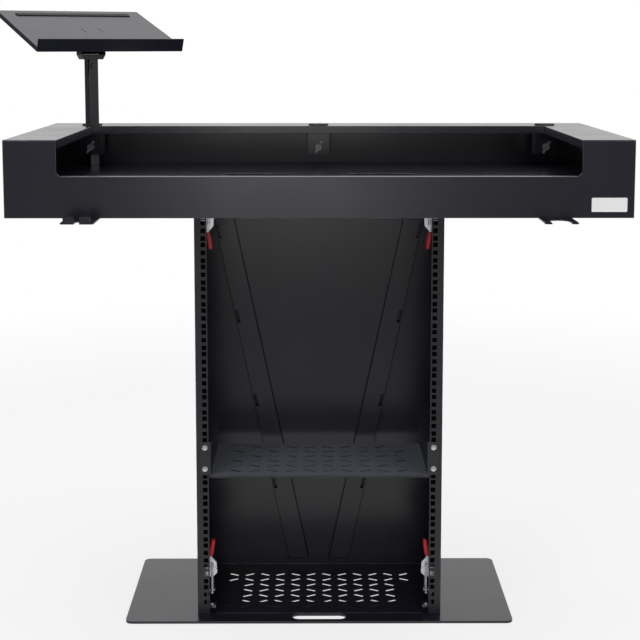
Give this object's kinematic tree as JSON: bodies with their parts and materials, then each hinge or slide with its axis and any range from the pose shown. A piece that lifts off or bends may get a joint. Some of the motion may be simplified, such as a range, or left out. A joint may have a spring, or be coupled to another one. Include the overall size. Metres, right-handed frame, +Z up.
{
  "type": "dj booth",
  "caption": "Flat-pack steel DJ booth: base plate, rack column with vented shelf and toggle clamps, console with U-shaped hood, tilting equipment stand and holders.",
  "frame": {"origin": "centre of the base plate's underside, on the floor", "axes": "+Z up, +X to the operator's right when facing the audience, front (operator's side) towards -Y"},
  "size_m": [1.316, 0.777, 1.2455],
  "materials": {
    "black_coat": "semi-gloss black powder coat",
    "zinc": "bright zinc plate",
    "red_vinyl": "dipped red vinyl",
    "black_plastic": "satin black",
    "grey_knob": "grey die-casting",
    "rubber": "ribbed rubber strip"
  },
  "bodies": {
    "booth": {"audience_panel": "black_coat", "base_catches": "zinc", "base_plate": "black_coat", "clamp_brackets": "zinc", "column_floor": "black_coat", "column_side_left": "black_coat", "column_side_right": "black_coat", "column_top_bar": "black_coat", "console_catches": "zinc", "console_floor": "black_coat", "console_front": "black_coat", "console_rear": "black_coat", "console_side_left": "black_coat", "console_side_right": "black_coat", "console_top": "black_coat", "diagonal_brace_left": "black_coat", "diagonal_brace_right": "black_coat", "rack_rail_left": "black_coat", "rack_rail_right": "black_coat", "side_hook": "black_coat", "slotted_holder": "black_coat", "stand_sockets": "black_coat", "vented_shelf": "black_coat"},
    "lever_lower_left": {"clamp_lever_lower_left": "zinc", "clamp_grip_lower_left": "red_vinyl"},
    "hook_lower_left": {"clamp_hook_lower_left": "zinc"},
    "lever_lower_right": {"clamp_lever_lower_right": "zinc", "clamp_grip_lower_right": "red_vinyl"},
    "hook_lower_right": {"clamp_hook_lower_right": "zinc"},
    "lever_upper_left": {"clamp_lever_upper_left": "zinc", "clamp_grip_upper_left": "red_vinyl"},
    "hook_upper_left": {"clamp_hook_upper_left": "zinc"},
    "lever_upper_right": {"clamp_lever_upper_right": "zinc", "clamp_grip_upper_right": "red_vinyl"},
    "hook_upper_right": {"clamp_hook_upper_right": "zinc"},
    "stand_bush": {"stand_bush": "black_plastic"},
    "stand_mast": {"stand_mast": "black_coat", "stand_yoke": "black_coat", "tilt_bolt": "zinc"},
    "stand_tray": {"stand_tray": "black_coat", "tray_block": "black_coat", "tray_pads": "rubber"},
    "tilt_knob": {"tilt_knob": "grey_knob"},
    "socket_knob_left": {"socket_knob_left": "grey_knob"},
    "socket_knob_mid": {"socket_knob_mid": "grey_knob"},
    "socket_plug_mid": {"socket_plug_mid": "black_plastic"},
    "socket_knob_right": {"socket_knob_right": "grey_knob"},
    "socket_plug_right": {"socket_plug_right": "black_plastic"}
  },
  "joints": [
    {"name": "lever_lower_left_swing", "type": "hinge", "parent": "booth", "child": "lever_lower_left", "pos_m": [-0.221, -0.095, 0.0815], "axis": [0, 1, 0], "range_deg": [0, 100]},
    {"name": "hook_lower_left_swing", "type": "hinge", "parent": "lever_lower_left", "child": "hook_lower_left", "pos_m": [-0.22276, -0.095, 0.09397], "axis": [0, 1, 0], "range_deg": [-100, 0]},
    {"name": "lever_lower_right_swing", "type": "hinge", "parent": "booth", "child": "lever_lower_right", "pos_m": [0.221, -0.095, 0.0815], "axis": [0, -1, 0], "range_deg": [0, 100]},
    {"name": "hook_lower_right_swing", "type": "hinge", "parent": "lever_lower_right", "child": "hook_lower_right", "pos_m": [0.22276, -0.095, 0.09397], "axis": [0, -1, 0], "range_deg": [-100, 0]},
    {"name": "lever_upper_left_swing", "type": "hinge", "parent": "booth", "child": "lever_upper_left", "pos_m": [-0.221, -0.095, 0.8235], "axis": [0, -1, 0], "range_deg": [0, 100]},
    {"name": "hook_upper_left_swing", "type": "hinge", "parent": "lever_upper_left", "child": "hook_upper_left", "pos_m": [-0.22276, -0.095, 0.81103], "axis": [0, -1, 0], "range_deg": [-100, 0]},
    {"name": "lever_upper_right_swing", "type": "hinge", "parent": "booth", "child": "lever_upper_right", "pos_m": [0.221, -0.095, 0.8235], "axis": [0, 1, 0], "range_deg": [0, 100]},
    {"name": "hook_upper_right_swing", "type": "hinge", "parent": "lever_upper_right", "child": "hook_upper_right", "pos_m": [0.22276, -0.095, 0.81103], "axis": [0, 1, 0], "range_deg": [-100, 0]},
    {"name": "mast_swivel", "type": "hinge", "parent": "booth", "child": "stand_bush", "pos_m": [-0.505, 0.2325, 0.96], "axis": [0, 0, 1], "continuous": true},
    {"name": "mast_lift", "type": "slide", "parent": "stand_bush", "child": "stand_mast", "axis": [0, 0, 1], "range_m": [0, 0.05]},
    {"name": "tray_tilt", "type": "hinge", "parent": "stand_mast", "child": "stand_tray", "pos_m": [-0.505, 0.2325, 1.171], "axis": [0.848, 0.5299, 0], "range_deg": [-18, 20]},
    {"name": "tilt_knob_turn", "type": "hinge", "parent": "stand_mast", "child": "tilt_knob", "pos_m": [-0.505, 0.2325, 1.171], "axis": [-0.848, -0.5299, 0], "continuous": true},
    {"name": "socket_knob_left_turn", "type": "hinge", "parent": "booth", "child": "socket_knob_left", "pos_m": [-0.505, 0.19, 0.944], "axis": [0, -1, 0], "continuous": true},
    {"name": "socket_knob_mid_turn", "type": "hinge", "parent": "booth", "child": "socket_knob_mid", "pos_m": [0, 0.19, 0.944], "axis": [0, -1, 0], "continuous": true},
    {"name": "socket_plug_mid_pull", "type": "slide", "parent": "booth", "child": "socket_plug_mid", "axis": [0, 0, 1], "range_m": [0, 0.06]},
    {"name": "socket_knob_right_turn", "type": "hinge", "parent": "booth", "child": "socket_knob_right", "pos_m": [0.505, 0.19, 0.944], "axis": [0, -1, 0], "continuous": true},
    {"name": "socket_plug_right_pull", "type": "slide", "parent": "booth", "child": "socket_plug_right", "axis": [0, 0, 1], "range_m": [0, 0.06]}
  ],
  "couplings": [
    {"joint": "hook_lower_left_swing", "follows": "lever_lower_left_swing", "ratio": -1},
    {"joint": "hook_lower_right_swing", "follows": "lever_lower_right_swing", "ratio": -1},
    {"joint": "hook_upper_left_swing", "follows": "lever_upper_left_swing", "ratio": -1},
    {"joint": "hook_upper_right_swing", "follows": "lever_upper_right_swing", "ratio": -1}
  ]
}
